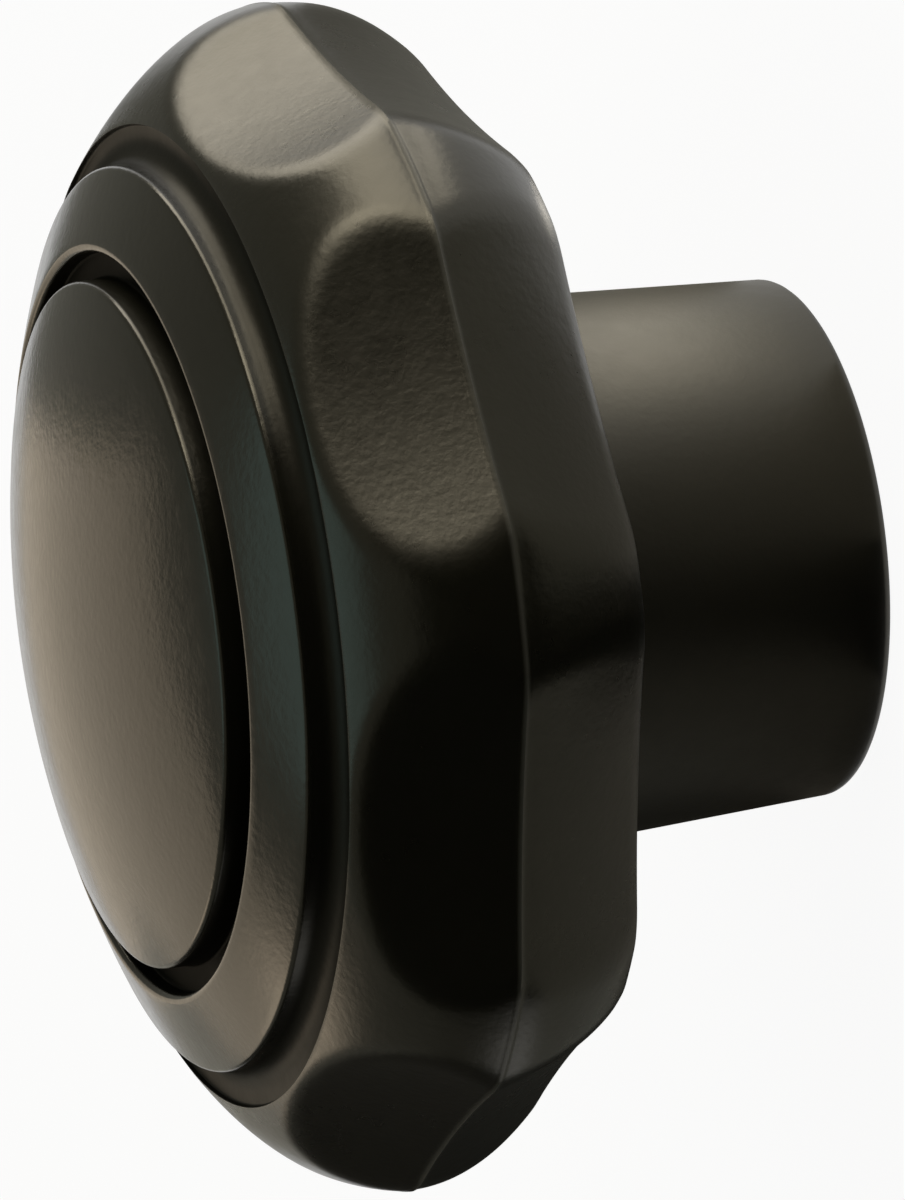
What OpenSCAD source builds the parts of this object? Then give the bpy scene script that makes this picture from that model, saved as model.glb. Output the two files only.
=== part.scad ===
// Lobed hand knob: a moulded body round a brass threaded insert.
// It stands on its hub end at z = 0, with its axis on +Z and its domed face on top.

/* [Head] */
// Diameter over the lobes, at the parting plane of the mould
head_d = 50; // [49:0.5:56]
// Radius of the rounded rim in section, in front of the parting plane
crown_front_r = 8.6; // [8:0.1:10]
// Mould draft of the lobes in front of the parting plane, in degrees
crown_draft = 11; // [8:0.5:13]
// Radius of the rounded rim in section, behind the parting plane
crown_back_r = 7.5; // [7:0.1:12]
// Width of the flat land that the parting line leaves on the lobes
parting_land = 0.5; // [0.4:0.1:0.8]
// Thickness of the rim behind the parting plane
rim_back = 6.15; // [5:0.05:6.4]
// Rounding of the rim's back edge
back_edge_r = 0.5; // [0.2:0.1:1]

/* [Scallops] */
// Number of finger scallops round the rim
scallops = 8; // [6:1:9]
// Depth of a scallop at the parting plane
scallop_depth = 1.2; // [0.9:0.05:1.4]
// Radius of a scallop at the parting plane
scallop_r = 60; // [40:1:80]
// Mould draft of a scallop's floor in front of the parting plane, in degrees
front_draft = 25.5; // [20:0.5:26.5]
// Radius of a scallop's floor in section, behind the parting plane
floor_back_r = 12; // [11:0.5:16]
// Mould draft of a scallop's floor behind the parting plane, in degrees
back_draft = 9; // [6:0.5:12]

/* [Face] */
// Height of the top of the face above the parting plane
face_h = 11.7; // [11.3:0.1:12.5]
// Radius of the sphere that the face lies on
face_r = 43.5; // [42:0.5:60]
// Diameter of the central disc
disc_d = 28.8; // [24:0.1:32]
// Width of the groove round the disc
groove_w = 1.15; // [0.8:0.05:1.6]
// Depth of the groove round the disc, below the band's inner edge
groove_depth = 1; // [0.5:0.1:2]
// Outer diameter of the ring band
band_d = 38; // [36:0.2:38.4]
// Width of the ledge outside the band
ledge_w = 1.6; // [1:0.1:2]
// Depth of the ledge below the edge of the rim
ledge_depth = 0.3; // [0.2:0.05:0.6]
// Rounding of the edges on the face
face_edge_r = 0.3; // [0.1:0.05:0.4]

/* [Hub] */
// Length of the hub, from its end to the back of the head
hub_len = 15; // [12:0.1:24]
// Diameter of the hub at its end
hub_d = 22.1; // [20:0.1:28]
// Mould draft of the hub, in degrees
hub_draft = 2.8; // [0.5:0.1:3]
// Rounding of the hub's end
hub_edge_r = 0.4; // [0.2:0.1:1]
// Fillet between the hub and the back of the head
hub_fillet_r = 1.2; // [0.5:0.1:2]

/* [Insert] */
// Nominal diameter of the thread
thread_d = 10; // [8:1:10]
// Pitch of the thread
thread_pitch = 1.5; // [1:0.25:1.75]
// Depth of the threaded hole, to the end of its full wall
thread_len = 16; // [10:0.5:18]
// Width of the chamfer at the mouth of the hole, past the thread's crest
mouth_chamfer = 0.25; // [0:0.05:0.5]
// Diameter of the round collar at the hub's end
collar_d = 16; // [15.5:0.5:17.5]
// Length of the collar
collar_len = 4; // [3:0.5:6]
// Width of the insert's hexagon across its flats
insert_flats = 13; // [12.5:0.5:13.2]
// Diameter of the waist that anchors the insert
waist_d = 12.4; // [11.6:0.1:12.4]
// Length of the waist
waist_len = 4; // [2:0.5:6]
// Metal left past the drilled point of the hole
insert_end = 2.4; // [1.5:0.1:4]

/* [Hidden] */
$fn = 96;
over = 1;

head_r = head_d / 2;
parting_z = hub_len + rim_back;
front_z = parting_z + parting_land / 2;
back_z = parting_z - parting_land / 2;
crown_front_x = head_r - crown_front_r * cos(crown_draft);
crown_front_z = front_z - crown_front_r * sin(crown_draft);
crown_back_x = head_r - crown_back_r;

face_z = parting_z + face_h - face_r;
disc_r = disc_d / 2;
band_in_r = disc_r + groove_w;
band_r = band_d / 2;
lip_r = band_r + ledge_w;
top_z = face_z + face_r + over;

// Height of an arc's upper side above a radius; flat inside the arc's own centre
function arc_z(x, arc_x, arc_z0, arc_r) = arc_z0 + sqrt(arc_r ^ 2 - max(0, x - arc_x) ^ 2);
function face_at(x, inset = 0) = arc_z(x, 0, face_z, face_r - inset);
function rim_at(x) = arc_z(x, crown_front_x, crown_front_z, crown_front_r);

lip_z = rim_at(lip_r);
ledge_z = lip_z - ledge_depth;
groove_z = face_at(band_in_r) - groove_depth;

scallop_x = head_r - scallop_depth + scallop_r;
scallop_up = lip_z - parting_z + over;
scallop_down = rim_back + over;

hub_r = hub_d / 2;
hub_slope = tan(hub_draft);
function hub_at(z) = hub_r + z * hub_slope;

bore_r = (thread_d - thread_pitch) / 2;
mouth_r = thread_d / 2 + mouth_chamfer;
point_half_angle = 59;
point_len = bore_r / tan(point_half_angle);
insert_len = thread_len + point_len + insert_end;
waist_z = collar_len + (insert_len - collar_len - waist_len) / 2;

moulded_black = [0.09, 0.09, 0.08];
turned_brass = [0.78, 0.62, 0.32];

// Half section of a piece of the face inside radius r, its outer edge rounded
module face_plateau(r) {
    edge_x = r - face_edge_r;
    edge_z = face_at(edge_x, face_edge_r);
    meet_x = edge_x * face_r / (face_r - face_edge_r);
    intersection() {
        translate([0, face_z]) circle(face_r, $fn = 360);
        translate([0, parting_z]) square([meet_x, face_h + over]);
    }
    translate([edge_x, edge_z]) circle(face_edge_r);
    translate([0, parting_z]) square([r, edge_z - parting_z]);
}

// Half section of the groove round the disc, with the band's inner edge rounded
module disc_groove() {
    edge_x = band_in_r + face_edge_r;
    edge_z = face_at(edge_x, face_edge_r);
    meet_x = edge_x * face_r / (face_r - face_edge_r);
    translate([disc_r, groove_z]) square([groove_w, top_z - groove_z]);
    difference() {
        translate([band_in_r, edge_z]) square([meet_x - band_in_r, top_z - edge_z]);
        translate([edge_x, edge_z]) circle(face_edge_r);
    }
}

// Half section of the face: central disc and ring band on one sphere, parted by a groove
module face_section() {
    difference() {
        face_plateau(band_r);
        disc_groove();
    }
    face_plateau(disc_r);
}

// Half section of the head without its face: rounded rim, flat back, stepped ledge
module rim_section() {
    edge_z = hub_len + back_edge_r;
    edge_drop = back_z - edge_z;
    edge_x = crown_back_x + sqrt((crown_back_r - back_edge_r) ^ 2 - edge_drop ^ 2);
    meet_z = back_z - edge_drop * crown_back_r / (crown_back_r - back_edge_r);
    difference() {
        union() {
            translate([0, front_z]) square([crown_front_x, crown_front_z + crown_front_r - front_z]);
            intersection() {
                translate([crown_front_x, crown_front_z]) circle(crown_front_r, $fn = 180);
                translate([0, front_z]) square([head_r, crown_front_r]);
            }
            translate([0, back_z]) square([head_r, parting_land]);
            intersection() {
                translate([crown_back_x, back_z]) circle(crown_back_r, $fn = 180);
                translate([0, meet_z]) square([head_r, back_z - meet_z]);
            }
            translate([0, hub_len]) square([edge_x, rim_back]);
            translate([edge_x, edge_z]) circle(back_edge_r);
        }
        translate([0, ledge_z]) square([lip_r, crown_front_r]);
    }
}

// Half section of the hub: drafted side, rounded end, fillet at the head
module hub_section() {
    side = cos(hub_draft);
    edge_x = hub_at(hub_edge_r) - hub_edge_r / side;
    fillet_z = hub_len - hub_fillet_r;
    fillet_x = hub_at(fillet_z) + hub_fillet_r / side;
    lean = sin(hub_draft);
    polygon([
        [0, 0],
        [edge_x, 0],
        [edge_x + hub_edge_r * side, hub_edge_r - hub_edge_r * lean],
        [hub_at(hub_len), hub_len],
        [hub_at(hub_len), hub_len + over],
        [0, hub_len + over],
    ]);
    translate([edge_x, hub_edge_r]) circle(hub_edge_r);
    difference() {
        polygon([
            [fillet_x - hub_fillet_r * side, fillet_z + hub_fillet_r * lean],
            [fillet_x, hub_len],
            [fillet_x, hub_len + over],
            [hub_at(hub_len) - over, hub_len + over],
        ]);
        translate([fillet_x, fillet_z]) circle(hub_fillet_r);
    }
}

// Section of a finger scallop from its own axis: a straight floor in front and a rounded one behind, both drafted
module scallop_section() {
    near_x = scallop_r - scallop_depth - over;
    back_x = scallop_r + floor_back_r * cos(back_draft);
    polygon([
        [near_x, parting_z],
        [scallop_r, parting_z],
        [scallop_r + scallop_up * tan(front_draft), parting_z + scallop_up],
        [near_x, parting_z + scallop_up],
    ]);
    difference() {
        translate([near_x, parting_z - scallop_down]) square([back_x - near_x, scallop_down]);
        translate([back_x, parting_z + floor_back_r * sin(back_draft)]) circle(floor_back_r, $fn = 180);
    }
}

// One finger scallop
module scallop() {
    translate([scallop_x, 0, 0]) rotate_extrude($fn = 360) scallop_section();
}

// Outside of the insert, which is also the hollow that it leaves in the moulding
module insert_blank() {
    cylinder(h = collar_len, d = collar_d);
    translate([0, 0, collar_len])
        cylinder(h = waist_z - collar_len, d = insert_flats / cos(30), $fn = 6);
    translate([0, 0, waist_z])
        cylinder(h = waist_len, d = waist_d);
    translate([0, 0, waist_z + waist_len])
        cylinder(h = insert_len - waist_z - waist_len, d = insert_flats / cos(30), $fn = 6);
}

// Drilled and chamfered hole for the thread
module stud_hole() {
    translate([0, 0, -over])
        cylinder(h = thread_len + over, r = bore_r);
    translate([0, 0, thread_len])
        cylinder(h = point_len, r1 = bore_r, r2 = 0);
    cylinder(h = mouth_r - bore_r, r1 = mouth_r, r2 = bore_r);
}

module knob_body() {
    color(moulded_black)
        difference() {
            rotate_extrude($fn = 360) {
                rim_section();
                face_section();
                hub_section();
            }
            for (i = [0 : scallops - 1])
                rotate([0, 0, (i + 0.5) * 360 / scallops]) scallop();
            insert_blank();
        }
}

module threaded_insert() {
    color(turned_brass)
        difference() {
            insert_blank();
            stud_hole();
        }
}

knob_body();
threaded_insert();
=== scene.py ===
"""Looks of a lobed hand knob: satin black moulding round a turned brass insert, on a plain white floor."""
import functools
import math

import bmesh
import bpy
from mathutils import Matrix, Vector

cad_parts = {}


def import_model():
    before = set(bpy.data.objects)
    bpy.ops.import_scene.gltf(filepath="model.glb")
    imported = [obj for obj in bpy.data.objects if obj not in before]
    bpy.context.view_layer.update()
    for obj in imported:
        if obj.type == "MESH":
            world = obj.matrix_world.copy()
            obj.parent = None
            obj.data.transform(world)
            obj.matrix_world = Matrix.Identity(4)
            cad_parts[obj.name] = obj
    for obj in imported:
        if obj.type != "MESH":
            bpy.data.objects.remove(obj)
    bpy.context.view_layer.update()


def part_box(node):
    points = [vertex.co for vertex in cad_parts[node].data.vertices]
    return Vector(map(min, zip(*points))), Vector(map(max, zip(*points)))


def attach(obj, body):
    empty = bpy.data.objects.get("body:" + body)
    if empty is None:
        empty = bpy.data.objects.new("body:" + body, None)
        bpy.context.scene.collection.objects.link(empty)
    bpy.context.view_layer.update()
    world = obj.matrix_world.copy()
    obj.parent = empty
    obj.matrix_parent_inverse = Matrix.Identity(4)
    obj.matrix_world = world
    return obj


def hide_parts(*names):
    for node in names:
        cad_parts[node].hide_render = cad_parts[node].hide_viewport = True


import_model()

# Sizes, in millimetres
MM = 0.001
HEAD_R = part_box("knob_body")[1].x / MM
TOP_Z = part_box("knob_body")[1].z / MM
HUB_LEN = 15.0
RIM_BACK = 6.15
LAND = 0.5
CROWN_FRONT_R = 8.6
CROWN_DRAFT = math.radians(11)
CROWN_BACK_R = 7.5
BACK_EDGE_R = 0.5
LOBES = 8
SCALLOP_DEPTH = 1.2
SCALLOP_R = 60.0
FRONT_DRAFT = math.radians(25.5)
FLOOR_BACK_R = 12.0
BACK_DRAFT = math.radians(9)
SCALLOP_BLEND = 0.32
FLASH_H = 0.06
FLASH_W = 0.16
FACE_R = 43.5
DISC_R = 14.4
GROOVE_W = 1.15
GROOVE_DEPTH = 1.0
BAND_R = 19.0
LEDGE_W = 1.6
LEDGE_DEPTH = 0.3
FACE_EDGE_R = 0.3
CORNER_R = 0.12
COVE_R = 1.1
HUB_R = 11.05
HUB_DRAFT = math.radians(2.8)
HUB_EDGE_R = 0.4
HUB_FILLET_R = 1.2
THREAD_R = 5.0
THREAD_PITCH = 1.5
THREAD_LEN = 16.0
THREAD_STEEP = 1.25
THREAD_FLAT = 0.14
MOUTH_CHAMFER = 0.25
COLLAR_R = 8.0
COLLAR_LEN = 4.0
COLLAR_CHAMFER = 0.18
INSERT_FLATS = 13.0
WAIST_R = 6.2
WAIST_LEN = 4.0
INSERT_END = 2.4
POINT_HALF_ANGLE = math.radians(59)

# Fineness of the meshes: steps round the axis, steps of the curves in section, and lengths in millimetres
BODY_STEPS = 528
INSERT_STEPS = 192
SECTORS = 16
RINGS_PER_TURN = 28
CORNER_STEPS = 3
EDGE_STEPS = 6
FILLET_STEPS = 8
DISC_RINGS = 12
BAND_RINGS = 8
RIM_FRONT_STEPS = 40
RIM_BACK_STEPS = 24
HUB_RINGS = 6
PRESS_PASSES = 4
MERGE = 0.0005
NEAR = 0.01
LIP_EASE = 0.3
BACK_RING = 4.0
END_RING = 1.5
BODY_SHARP = 50
INSERT_SHARP = 35
STAGE_SHARP = 30

# Places that follow from the sizes
PARTING_Z = HUB_LEN + RIM_BACK
FRONT_Z = PARTING_Z + LAND / 2
BACK_Z = PARTING_Z - LAND / 2
CROWN_FRONT_X = HEAD_R - CROWN_FRONT_R * math.cos(CROWN_DRAFT)
CROWN_FRONT_Z = FRONT_Z - CROWN_FRONT_R * math.sin(CROWN_DRAFT)
CROWN_BACK_X = HEAD_R - CROWN_BACK_R
FACE_Z = TOP_Z - FACE_R
BAND_IN_R = DISC_R + GROOVE_W
LIP_R = BAND_R + LEDGE_W
LIP_Z = CROWN_FRONT_Z + math.sqrt(CROWN_FRONT_R ** 2 - (LIP_R - CROWN_FRONT_X) ** 2)
LEDGE_Z = LIP_Z - LEDGE_DEPTH
BORE_R = THREAD_R - THREAD_PITCH / 2
MOUTH_R = THREAD_R + MOUTH_CHAMFER
POINT_LEN = BORE_R / math.tan(POINT_HALF_ANGLE)
INSERT_LEN = THREAD_LEN + POINT_LEN + INSERT_END
WAIST_Z = COLLAR_LEN + (INSERT_LEN - COLLAR_LEN - WAIST_LEN) / 2


# Outlines


def arc(x, z, radius, start, end, steps):
    """Points of an arc about (x, z), from one angle to another in degrees."""
    angles = [math.radians(start + (end - start) * i / steps) for i in range(steps + 1)]
    return [(x + radius * math.cos(a), z + radius * math.sin(a)) for a in angles]


def face_z(x, inset=0.0):
    """Height of the domed face above a radius, or of a face set in by some depth."""
    return FACE_Z + math.sqrt((FACE_R - inset) ** 2 - x ** 2)


def dome(start, end, steps):
    """Points on the domed face, between two radii."""
    radii = [start + (end - start) * i / steps for i in range(steps + 1)]
    return [(x, face_z(x)) for x in radii]


def rounded_rise(x, outward):
    """Rounded edge of the domed face at radius x; outward is 1 where the wall faces away from the axis."""
    centre_x = x - outward * FACE_EDGE_R
    lean = math.degrees(math.asin(centre_x / (FACE_R - FACE_EDGE_R)))
    wall = 0 if outward > 0 else 180
    return arc(centre_x, face_z(centre_x, FACE_EDGE_R), FACE_EDGE_R, 90 - lean, wall, EDGE_STEPS)


def face_outline():
    """Disc, groove, ring band and ledge, from the axis out to the foot of the rim."""
    disc_edge = rounded_rise(DISC_R, 1)
    band_in = rounded_rise(BAND_IN_R, -1)[::-1]
    band_out = rounded_rise(BAND_R, 1)
    groove_z = face_z(BAND_IN_R) - GROOVE_DEPTH
    groove = arc(DISC_R + CORNER_R, groove_z + CORNER_R, CORNER_R, 180, 270, CORNER_STEPS)
    groove += arc(BAND_IN_R - CORNER_R, groove_z + CORNER_R, CORNER_R, 270, 360, CORNER_STEPS)
    cove = arc(BAND_R + COVE_R, LEDGE_Z + COVE_R, COVE_R, 180, 270, EDGE_STEPS)
    ledge = arc(LIP_R - CORNER_R, LEDGE_Z + CORNER_R, CORNER_R, 270, 360, CORNER_STEPS)
    disc = dome(0, disc_edge[0][0], DISC_RINGS)[:-1] + disc_edge
    band = band_in + dome(band_in[-1][0], band_out[0][0], BAND_RINGS)[1:-1] + band_out
    return disc + groove + band + cove + ledge


def rim_outline():
    """Rounded rim, from its lip over the parting line to the back edge."""
    lip_angle = math.degrees(math.asin((LIP_Z - CROWN_FRONT_Z) / CROWN_FRONT_R))
    soft = math.degrees(CORNER_R / CROWN_FRONT_R)
    draft = math.degrees(CROWN_DRAFT)
    front = arc(CROWN_FRONT_X, CROWN_FRONT_Z, CROWN_FRONT_R, lip_angle - soft, draft, RIM_FRONT_STEPS)
    ease = CORNER_R * LIP_EASE
    lip = [(LIP_R, LIP_Z - CORNER_R), (LIP_R + ease, LIP_Z - ease)]
    land = [(HEAD_R, PARTING_Z + k * LAND) for k in (0.25, 0, -0.25)]
    edge_z = HUB_LEN + BACK_EDGE_R
    edge_drop = BACK_Z - edge_z
    edge_x = CROWN_BACK_X + math.sqrt((CROWN_BACK_R - BACK_EDGE_R) ** 2 - edge_drop ** 2)
    edge_angle = -math.degrees(math.asin(edge_drop / (CROWN_BACK_R - BACK_EDGE_R)))
    back = arc(CROWN_BACK_X, BACK_Z, CROWN_BACK_R, 0, edge_angle, RIM_BACK_STEPS)
    edge = arc(edge_x, edge_z, BACK_EDGE_R, edge_angle, -90, EDGE_STEPS)
    return lip + front + land + back[:-1] + edge


def hub_outline():
    """Back of the head, fillet, drafted hub and its rounded end, down to the rim of the insert's pocket."""
    slope = math.tan(HUB_DRAFT)
    lean = math.degrees(HUB_DRAFT)
    side = math.cos(HUB_DRAFT)
    fillet_z = HUB_LEN - HUB_FILLET_R
    fillet_x = HUB_R + fillet_z * slope + HUB_FILLET_R / side
    fillet = arc(fillet_x, fillet_z, HUB_FILLET_R, 90, 180 - lean, FILLET_STEPS)
    edge_x = HUB_R + HUB_EDGE_R * slope - HUB_EDGE_R / side
    edge = arc(edge_x, HUB_EDGE_R, HUB_EDGE_R, -lean, -90, EDGE_STEPS)
    top, foot = fillet[-1], edge[0]
    wall = [tuple(a + (b - a) * i / HUB_RINGS for a, b in zip(top, foot)) for i in range(1, HUB_RINGS)]
    back = [(fillet_x + BACK_RING, HUB_LEN)]
    end = [(COLLAR_R + END_RING, 0)]
    mouth = arc(COLLAR_R + CORNER_R, CORNER_R, CORNER_R, 270, 180, CORNER_STEPS)
    return back + fillet + wall + edge + end + mouth


def insert_outline(foot):
    """Outside of the insert above its foot; the radius of its hexagon is that of the flats."""
    flat_r = INSERT_FLATS / 2
    waist_top = WAIST_Z + WAIST_LEN
    return foot + [
        (COLLAR_R, COLLAR_LEN),
        (flat_r, COLLAR_LEN),
        (flat_r, WAIST_Z),
        (WAIST_R, WAIST_Z),
        (WAIST_R, waist_top),
        (flat_r, waist_top),
        (flat_r, INSERT_LEN),
        (0, INSERT_LEN),
    ]


def bore_outline():
    """Threaded hole, from its drilled point to its mouth, with rings close enough for the thread."""
    rings = round(THREAD_LEN / THREAD_PITCH * RINGS_PER_TURN)
    wall = [(BORE_R, THREAD_LEN * (1 - i / rings)) for i in range(rings)]
    point = [(0, THREAD_LEN + POINT_LEN), (BORE_R / 2, THREAD_LEN + POINT_LEN / 2)]
    return point + wall


# Shapes


def turned(outline, steps):
    """Mesh that an outline sweeps round the axis: one sector is spun, then copied round and joined."""
    bm = bmesh.new()
    verts = [bm.verts.new((x * MM, 0, z * MM)) for x, z in outline]
    edges = [bm.edges.new(pair) for pair in zip(verts, verts[1:])]
    sector = math.tau / SECTORS
    bmesh.ops.spin(bm, geom=verts + edges, cent=(0, 0, 0), axis=(0, 0, 1), dvec=(0, 0, 0),
                   angle=sector, steps=steps // SECTORS, use_merge=False, use_duplicate=False)
    bmesh.ops.spin(bm, geom=bm.verts[:] + bm.edges[:] + bm.faces[:], cent=(0, 0, 0), axis=(0, 0, 1),
                   dvec=(0, 0, 0), angle=math.tau - sector, steps=SECTORS - 1, use_merge=False,
                   use_duplicate=True)
    bmesh.ops.remove_doubles(bm, verts=bm.verts[:], dist=MERGE * MM)
    bmesh.ops.recalc_face_normals(bm, faces=bm.faces[:])
    return bm


def polar(vert):
    """Radius, angle and height of a vertex, in millimetres and radians."""
    x, y, z = (c / MM for c in vert.co)
    return math.hypot(x, y), math.atan2(y, x), z


def put(vert, radius, angle, z):
    """Moves a vertex to a radius, angle and height, in millimetres and radians."""
    vert.co = Vector((radius * math.cos(angle), radius * math.sin(angle), z)) * MM


def hexagon_radius(angle):
    """Radius of the insert's hexagon at an angle; it has a corner on +X."""
    turn = math.radians(60)
    off = angle % turn - turn / 2
    return INSERT_FLATS / 2 / math.cos(off)


def shape_hexagon(bm):
    """Turns the round stretches at the flats' radius into the hexagon."""
    flat_r = INSERT_FLATS / 2
    for vert in bm.verts:
        radius, angle, z = polar(vert)
        if abs(radius - flat_r) < NEAR and z > COLLAR_LEN - NEAR:
            put(vert, hexagon_radius(angle), angle, z)


def floor_lean(z):
    """Angle by which a scallop's floor leans from the knob's axis at a height."""
    if z > PARTING_Z:
        return FRONT_DRAFT
    return -math.asin(math.sin(BACK_DRAFT) + (PARTING_Z - z) / FLOOR_BACK_R)


def scallop_depth_at(radius, off, z):
    """How far a point lies inside the nearest finger scallop; off is its angle from the scallop's middle."""
    axis_x = HEAD_R - SCALLOP_DEPTH + SCALLOP_R
    lean = floor_lean(z)
    if z > PARTING_Z:
        sink = (z - PARTING_Z) * math.tan(FRONT_DRAFT)
    else:
        sink = FLOOR_BACK_R * (math.cos(BACK_DRAFT) - math.cos(lean))
    away = math.hypot(axis_x - radius * math.cos(off), radius * math.sin(off))
    return (SCALLOP_R + sink - away) * math.cos(lean)


def crown_direction(radius, z):
    """Direction, in section, in which a point of the rim gives way to a scallop."""
    if z <= FRONT_Z:
        return 1.0, 0.0
    lean = math.atan2(z - CROWN_FRONT_Z, radius - CROWN_FRONT_X)
    return math.cos(lean), math.sin(lean)


def soft_cut(depth):
    """Depth left after a cut whose edge is rounded."""
    round_off = max(SCALLOP_BLEND - abs(depth), 0) / SCALLOP_BLEND
    return min(depth, 0) - round_off ** 2 * SCALLOP_BLEND / 4


@functools.cache
def pressed(radius, off, z):
    """Where a point of the round rim comes to lie once the scallops are pressed in."""
    left = soft_cut(scallop_depth_at(radius, off, z))
    along_r, along_z = crown_direction(radius, z)
    lean = floor_lean(z)
    gain = along_r * math.cos(lean) + along_z * math.sin(lean)
    for _ in range(PRESS_PASSES):
        short = (scallop_depth_at(radius, off, z) - left) / gain
        radius -= short * along_r
        z -= short * along_z
    return radius, z


def press_scallops(bm):
    """Presses the finger scallops into the rim and leaves the moulding's flash on its parting line."""
    pitch = math.tau / LOBES
    back_foot = HUB_LEN + BACK_EDGE_R
    foot_r = CROWN_BACK_X + math.sqrt(CROWN_BACK_R ** 2 - (BACK_Z - back_foot) ** 2)
    for vert in bm.verts:
        radius, angle, z = polar(vert)
        if radius < LIP_R + NEAR or z > LIP_Z:
            continue
        # Rounded so that points that repeat from lobe to lobe are worked out once
        off = round(abs(angle % pitch - pitch / 2), 6)
        if z < back_foot:
            new_r = radius + pressed(foot_r, off, back_foot)[0] - foot_r
            new_z = z
        else:
            new_r, new_z = pressed(round(radius, 4), off, round(z, 4))
        flash = max(0, 1 - abs(new_z - PARTING_Z) / FLASH_W) * FLASH_H
        put(vert, new_r + flash, angle, new_z)


def cut_thread(bm):
    """Cuts the thread into the wall of the bore, with a chamfered mouth and a runout at its end."""
    flank = THREAD_R - BORE_R
    for vert in bm.verts:
        radius, angle, z = polar(vert)
        if abs(radius - BORE_R) > NEAR or z > THREAD_LEN + NEAR:
            continue
        phase = (z / THREAD_PITCH - angle / math.tau) % 1
        wave = 1 - abs(2 * phase - 1)
        form = min(max(wave * THREAD_STEEP - THREAD_FLAT, 0), 1)
        runout = min(max((THREAD_LEN - z) / THREAD_PITCH, 0), 1)
        put(vert, max(BORE_R + flank * form * runout, MOUTH_R - z), angle, z)


def piece(name, bm, finish, sharp_angle):
    """Object made from a finished mesh, smooth but for its sharp edges."""
    mesh = bpy.data.meshes.new(name)
    bm.to_mesh(mesh)
    bm.free()
    mesh.shade_smooth()
    mesh.set_sharp_from_angle(angle=math.radians(sharp_angle))
    mesh.materials.append(finish)
    obj = bpy.data.objects.new(name, mesh)
    bpy.context.scene.collection.objects.link(obj)
    return obj


def moulded_body(finish):
    """Scalloped head, domed face and hub in one moulding, hollow where the insert sits."""
    pocket = insert_outline([(COLLAR_R, CORNER_R * 2)])
    bm = turned(face_outline() + rim_outline() + hub_outline() + pocket, BODY_STEPS)
    shape_hexagon(bm)
    press_scallops(bm)
    bmesh.ops.recalc_face_normals(bm, faces=bm.faces[:])
    return piece("moulded_body", bm, finish, BODY_SHARP)


def brass_insert(finish):
    """Blind threaded bush: round collar, hexagon and waist."""
    foot = [(MOUTH_R, 0), (COLLAR_R - COLLAR_CHAMFER, 0), (COLLAR_R, COLLAR_CHAMFER)]
    bm = turned(bore_outline() + insert_outline(foot), INSERT_STEPS)
    shape_hexagon(bm)
    cut_thread(bm)
    bmesh.ops.recalc_face_normals(bm, faces=bm.faces[:])
    return piece("brass_insert", bm, finish, INSERT_SHARP)


# Finishes

OLIVE_BLACK = (0.0022, 0.0021, 0.0010, 1)
BROWN_BLACK = (0.0040, 0.0039, 0.0019, 1)
# Grey of the parting-line flash: partly the flash's own dull grey, partly a painted highlight
FLASH_PALE_AND_HIGHLIGHT = (0.050, 0.050, 0.046, 1)
# Dark matte colour of the painted shade in the face's groove and ledge
RECESS_SHADE = (0.003, 0.003, 0.0018, 1)
DULL_BRASS = (0.70, 0.50, 0.22, 1)
BRIGHT_BRASS = (0.82, 0.63, 0.31, 1)
FLOOR_PALE = (0.9, 0.9, 0.9, 1)
FLOOR_GLOW = 0.93
MOULDING_IOR = 1.54
MOULDING_SHEEN = (1.0, 0.95, 0.80, 1)
GRAIN_DEPTH = 0.015
# Painted shade in the face's recesses: how far above the parting line it starts, and the share that each
# recess takes
RECESS_ABOVE = 4
RECESS_SHADE_SHARE = 0.9
LEDGE_SHADE_SHARE = 0.66
TOOL_RING_DEPTH = 0.02
BORDER_STEEP = 12


class Value:
    """A socket of a finish's nodes, with the arithmetic that the finishes use."""

    def __init__(self, finish, socket):
        self.finish = finish
        self.socket = socket

    def math(self, operation, *others):
        return self.finish.node("ShaderNodeMath", {"operation": operation}, dict(enumerate(others)))

    def __add__(self, other):
        return self.math("ADD", self, other)

    def __radd__(self, other):
        return self.math("ADD", other, self)

    def __sub__(self, other):
        return self.math("SUBTRACT", self, other)

    def __rsub__(self, other):
        return self.math("SUBTRACT", other, self)

    def __mul__(self, other):
        return self.math("MULTIPLY", self, other)

    def __rmul__(self, other):
        return self.math("MULTIPLY", other, self)

    def clamped(self):
        """The value kept between 0 and 1."""
        return self.math("MINIMUM", self.math("MAXIMUM", self, 0.0), 1.0)

    def abs(self):
        return self.math("ABSOLUTE", self)


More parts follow.
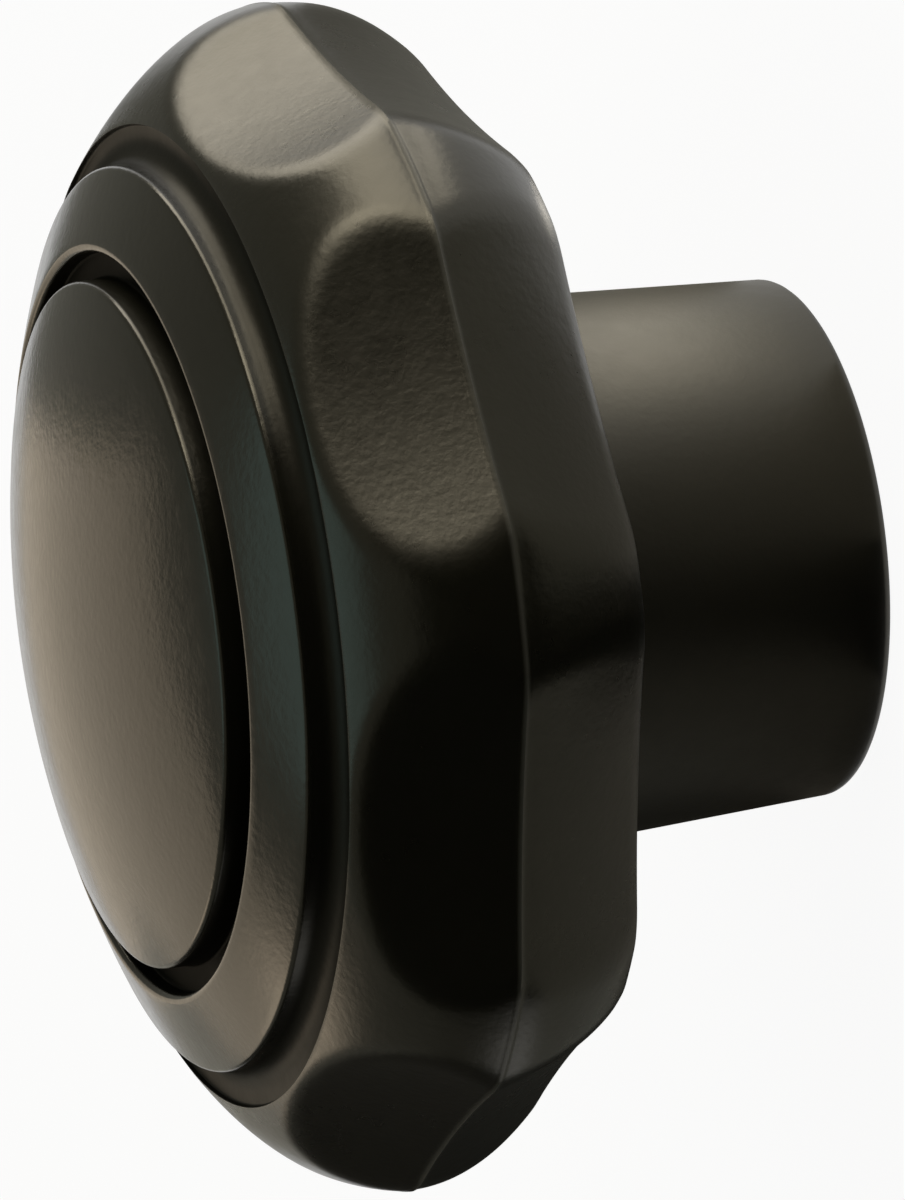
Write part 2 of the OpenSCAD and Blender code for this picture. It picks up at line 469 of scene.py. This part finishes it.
class Finish:
    """A material and the nodes that make it."""

    def __init__(self, name):
        self.material = bpy.data.materials.new(name)
        self.material.use_nodes = True
        self.tree = self.material.node_tree
        self.tree.nodes.clear()

    def node(self, kind, settings, sockets, output=0):
        """A node of one type: its settings first, then the values or links of its sockets."""
        made = self.tree.nodes.new(kind)
        for name, value in settings.items():
            setattr(made, name, value)
        for key, value in sockets.items():
            if isinstance(value, Value):
                self.tree.links.new(value.socket, made.inputs[key])
            else:
                made.inputs[key].default_value = value
        return None if output is None else Value(self, made.outputs[output])

    def mix(self, share, low, high):
        """Colour between two others."""
        return self.node("ShaderNodeMix", {"data_type": "RGBA"}, {0: share, 6: low, 7: high}, 2)

    def place(self):
        """Position on the piece, in millimetres."""
        where = self.node("ShaderNodeTexCoord", {}, {}, 3)
        return self.node("ShaderNodeVectorMath", {"operation": "SCALE"}, {0: where, 3: 1 / MM})

    def noise(self, where, size, detail=2.0):
        """Cloudy value from 0 to 1 whose blotches are about one size across, in millimetres."""
        return self.node("ShaderNodeTexNoise", {}, {"Vector": where, "Scale": 1 / size, "Detail": detail})

    def bump(self, height, depth):
        """Relief of a height from 0 to 1, its depth in millimetres."""
        return self.node("ShaderNodeBump", {}, {"Height": height, "Distance": depth * MM, "Strength": 1.0})

    def radius(self, where):
        """Distance of a position from the knob's axis."""
        flat = self.node("ShaderNodeVectorMath", {"operation": "MULTIPLY"}, {0: where, 1: (1, 1, 0)})
        return self.node("ShaderNodeVectorMath", {"operation": "LENGTH"}, {0: flat}, 1)

    def surface(self, shader):
        """The finished material."""
        self.node("ShaderNodeOutputMaterial", {}, {"Surface": shader}, None)
        return self.material


def within(value, low, high):
    """1 between two values and 0 outside them, with soft ends."""
    middle = (low + high) / 2
    return (((high - low) / 2 - (value - middle).abs()) * BORDER_STEEP + 0.5).clamped()


def moulded_black():
    """Satin black moulding: olive-brown tinge, fine grain, paler flash on the parting line that is partly a
    painted highlight, and painted shade in the face's groove and ledge.
    """
    finish = Finish("moulded_black")
    where = finish.place()
    height = finish.node("ShaderNodeSeparateXYZ", {}, {0: where}, 2)
    cloud = finish.noise(where, 7.0, 3.0)
    grain = finish.noise(where, 0.32, 2.0)
    speck = finish.noise(where, 0.9, 2.0)
    flash = (1 - (height - PARTING_Z).abs() * (1 / FLASH_W)).clamped()
    tone = finish.mix(cloud, OLIVE_BLACK, BROWN_BLACK)
    # Paler line on the parting: partly the trimmed flash's own dull grey, partly a painted highlight along
    # its thin ridge
    tone = finish.mix(flash * 0.5, tone, FLASH_PALE_AND_HIGHLIGHT)
    radius = finish.radius(where)
    hub = ((HUB_LEN - height) * 0.5).clamped()
    face = (height - LIP_Z + 0.5).clamped()
    groove = within(radius, DISC_R, BAND_IN_R)
    ledge = within(radius, BAND_R, LIP_R)
    # Painted shade: the groove and ledge on the face are mixed towards a dark matte, and are also made
    # rougher
    shaded_recess = (groove + LEDGE_SHADE_SHARE * ledge) * (height - PARTING_Z - RECESS_ABOVE).clamped()
    rough = 0.21 + 0.08 * cloud + 0.08 * speck + 0.1 * flash + 0.22 * hub - 0.08 * face + 0.2 * shaded_recess
    relief = finish.bump(grain * 0.6 + speck * 0.4, GRAIN_DEPTH)
    shader = finish.node("ShaderNodeBsdfPrincipled", {}, {
        "Base Color": tone,
        "Roughness": rough,
        "IOR": MOULDING_IOR,
        "Specular Tint": MOULDING_SHEEN,
        "Normal": relief,
    })
    # Dark matte that paints shade into the recesses
    painted_shade = finish.node("ShaderNodeBsdfDiffuse", {}, {"Color": RECESS_SHADE})
    both = finish.node("ShaderNodeMixShader", {}, {0: shaded_recess * RECESS_SHADE_SHARE, 1: shader, 2: painted_shade})
    return finish.surface(both)


def turned_brass():
    """Turned and tapped brass: fine tool rings, slight tarnish."""
    finish = Finish("turned_brass")
    where = finish.place()
    cloud = finish.noise(where, 4.0, 3.0)
    rings = finish.node("ShaderNodeTexNoise", {"noise_dimensions": "1D"},
                        {"W": finish.radius(where), "Scale": 9.0, "Detail": 3.0})
    tone = finish.mix(cloud, DULL_BRASS, BRIGHT_BRASS)
    shader = finish.node("ShaderNodeBsdfPrincipled", {}, {
        "Base Color": tone,
        "Metallic": 1.0,
        "Roughness": 0.24 + 0.12 * cloud + 0.08 * rings,
        "Normal": finish.bump(rings, TOOL_RING_DEPTH),
    })
    return finish.surface(shader)


def white_floor():
    """Pale floor that shows as white, with a faint shadow, and is clear from below."""
    finish = Finish("white_floor")
    camera_ray = finish.node("ShaderNodeLightPath", {}, {}, "Is Camera Ray")
    glossy_ray = finish.node("ShaderNodeLightPath", {}, {}, "Is Glossy Ray")
    clear_ray = finish.node("ShaderNodeLightPath", {}, {}, "Is Transmission Ray")
    seen = (camera_ray + glossy_ray + clear_ray).clamped()
    pale = finish.node("ShaderNodeBsdfDiffuse", {}, {"Color": FLOOR_PALE})
    glow = finish.node("ShaderNodeEmission", {}, {"Color": (1, 1, 1, 1), "Strength": 1.0})
    upper = finish.node("ShaderNodeMixShader", {}, {0: seen * FLOOR_GLOW, 1: pale, 2: glow})
    below = finish.node("ShaderNodeNewGeometry", {}, {}, "Backfacing")
    clear = finish.node("ShaderNodeBsdfTransparent", {}, {})
    return finish.surface(finish.node("ShaderNodeMixShader", {}, {0: below, 1: upper, 2: clear}))


def shade_sheet(name, shade):
    """Sheet of one grey: painted shade that only the knob's reflections show."""
    finish = Finish(name)
    return finish.surface(finish.node("ShaderNodeBsdfDiffuse", {}, {"Color": (shade, shade, shade, 1)}))


# Studio

FLOOR_SIZE = 4000
FLOOR_Z = -0.02
CARD_IN_R = 11.2
CARD_R = 62
WIDE_R = 240
CARD_Z = 0.2
CARD_TOP = 80
WALL_TOP = 100
CARD_STEPS = 48
LYING = [(CARD_IN_R, CARD_Z), (CARD_R, CARD_Z)]
UPRIGHT = [(CARD_R, CARD_Z), (CARD_R, CARD_TOP)]
WIDE = LYING + [(WIDE_R, CARD_Z), (WIDE_R, CARD_TOP)]
WALL = [(WIDE_R, CARD_Z), (WIDE_R, WALL_TOP)]
HUB_LAMP_TURN = 75
STRIP_R = 19.5
STRIP_Z = 4.6
PANEL_R = 64
PANEL_Z = 0.6
MIDDLE = Vector((0, 0, PARTING_Z))
WARM = (1.0, 0.93, 0.80)
AMBER = (1.0, 0.83, 0.64)
BLUISH = (0.6, 1.0, 1.05)
WORLD_TONE = (0.24, 0.235, 0.20, 1)
VIEW_AZIMUTH = math.radians(-87.04)
VIEW_ELEVATION = math.radians(18.52)
VIEW_ROLL = math.radians(-97.52)
VIEW_DISTANCE = 400
VIEW_AIM = Vector((-0.765, 0.05, 15.545))
VIEW_LENS = 190.16
VIEW_NEAR = 0.01
SENSOR_H = 24

# Name, first and last turn from the camera in degrees, section and grey of each card; each card is a sheet
# of painted shade that only reflections show
CARDS = [
    ("front_card", -75, 39, UPRIGHT, "shade_black"),
    ("dark_ground", -36, -3, LYING, "shade_black"),
    ("grey_ground", -100, -36, LYING, "shade_grey"),
    ("dim_ground", -185, -150, LYING, "shade_dim"),
    ("wide_ground", -150, -100, WIDE, "shade_dim"),
    ("back_wall", -166.5, -150, WALL, "shade_grey"),
    ("hub_ground", -3, 40, LYING, "shade_grey"),
    ("far_ground", 98, 150, LYING, "shade_mid"),
]
GREYS = {"shade_black": 0.02, "shade_dim": 0.06, "shade_grey": 0.7, "shade_mid": 0.4}

# Name, turn from the camera and elevation in degrees, distance, size, radiance and tint of each far lamp
LAMPS = [
    ("key", 87, 9.5, 300, (510, 130), 4.2, WARM),
    ("side", 62, 28, 300, (100, 110), 6.2, WARM),
    ("back", -166, 25, 460, (370, 390), 0.75, AMBER),
    ("low", -141, 34, 460, (130, 120), 1.3, AMBER),
    ("sky", 180, 80, 480, (300, 260), 0.55, BLUISH),
]


def direction(azimuth, elevation):
    """Unit vector at an azimuth and elevation, in radians."""
    level = math.cos(elevation)
    return Vector((level * math.cos(azimuth), level * math.sin(azimuth), math.sin(elevation)))


def facing(place, target, roll=0.0):
    """Matrix of a camera or lamp at a place that looks at a target, in millimetres."""
    look = (target - place).to_track_quat("-Z", "Y").to_matrix().to_4x4()
    return Matrix.Translation(place * MM) @ look @ Matrix.Rotation(roll, 4, "Z")


def camera():
    """Camera at the photograph's viewing angle."""
    data = bpy.data.cameras.new("camera")
    data.sensor_fit = "VERTICAL"
    data.sensor_height = SENSOR_H
    data.lens = VIEW_LENS
    data.clip_start = VIEW_NEAR
    obj = bpy.data.objects.new("camera", data)
    eye = VIEW_AIM + direction(VIEW_AZIMUTH, VIEW_ELEVATION) * VIEW_DISTANCE
    obj.matrix_world = facing(eye, VIEW_AIM, VIEW_ROLL)
    bpy.context.scene.collection.objects.link(obj)
    bpy.context.scene.camera = obj


def aside(turn, elevation=0.0):
    """Unit vector at a turn from the camera's azimuth and at an elevation, in degrees."""
    return direction(VIEW_AZIMUTH + math.radians(turn), math.radians(elevation))


def softbox(name, place, target, size, radiance, tint):
    """Rectangular lamp at a place that faces a target."""
    data = bpy.data.lights.new(name, "AREA")
    data.shape = "RECTANGLE"
    data.size, data.size_y = size[0] * MM, size[1] * MM
    data.energy = radiance * math.pi * data.size * data.size_y
    data.color = tint
    obj = bpy.data.objects.new(name, data)
    obj.matrix_world = facing(place, target)
    obj.visible_camera = False
    bpy.context.scene.collection.objects.link(obj)
    return obj


def light_only(lamp, pieces):
    """Keeps a lamp off everything but some pieces."""
    lit = bpy.data.collections.new("lit_by_" + lamp.name)
    for obj in pieces:
        lit.objects.link(obj)
    lamp.light_linking.receiver_collection = lit


def stage(name, bm, finish):
    """Part of the studio, not of the object."""
    obj = piece(name, bm, finish, STAGE_SHARP)
    return obj


def floor(finish):
    """Wide floor just under the hub's end."""
    bm = bmesh.new()
    bmesh.ops.create_grid(bm, x_segments=1, y_segments=1, size=FLOOR_SIZE / 2 * MM)
    bmesh.ops.translate(bm, verts=bm.verts[:], vec=(0, 0, FLOOR_Z * MM))
    return stage("floor", bm, finish)


def card(name, start, end, outline, finish):
    """Card bent round the knob between two turns from the camera, which only reflections show: painted shade
    on the floor and round the knob in its reflections.
    """
    bm = bmesh.new()
    first = aside(start)
    verts = [bm.verts.new((first * r + Vector((0, 0, z))) * MM) for r, z in outline]
    edges = [bm.edges.new(pair) for pair in zip(verts, verts[1:])]
    bmesh.ops.spin(bm, geom=verts + edges, cent=(0, 0, 0), axis=(0, 0, 1), dvec=(0, 0, 0),
                   angle=math.radians(end - start), steps=CARD_STEPS, use_merge=False, use_duplicate=False)
    obj = stage(name, bm, finish)
    obj.visible_camera = False
    obj.visible_diffuse = False
    obj.visible_shadow = False


def world():
    """Dim even light from all round."""
    made = bpy.data.worlds.new("studio")
    made.use_nodes = True
    made.node_tree.nodes["Background"].inputs["Color"].default_value = WORLD_TONE
    bpy.context.scene.world = made


bpy.context.scene.view_settings.view_transform = "Standard"
camera()
world()
floor(white_floor())
# Sheets of painted shade, seen only in the knob's reflections
greys = {name: shade_sheet(name, shade) for name, shade in GREYS.items()}
for name, first, last, section, grey in CARDS:
    card(name, first, last, section, greys[grey])
for name, turn, elevation, distance, size, radiance, tint in LAMPS:
    softbox(name, MIDDLE + aside(turn, elevation) * distance, MIDDLE, size, radiance, tint)
beside = aside(HUB_LAMP_TURN) * STRIP_R + Vector((0, 0, STRIP_Z))
strip = softbox("strip", beside, Vector((0, 0, STRIP_Z)), (16, 8), 3.6, WARM)
ground = aside(HUB_LAMP_TURN) * PANEL_R + Vector((0, 0, PANEL_Z))
softbox("panel", ground, ground + Vector((0, 0, 1)), (24, 30), 3.2, WARM)

body = moulded_body(moulded_black())
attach(body, "root")
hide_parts("knob_body")

insert = brass_insert(turned_brass())
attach(insert, "root")
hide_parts("threaded_insert")
light_only(strip, [body, insert])
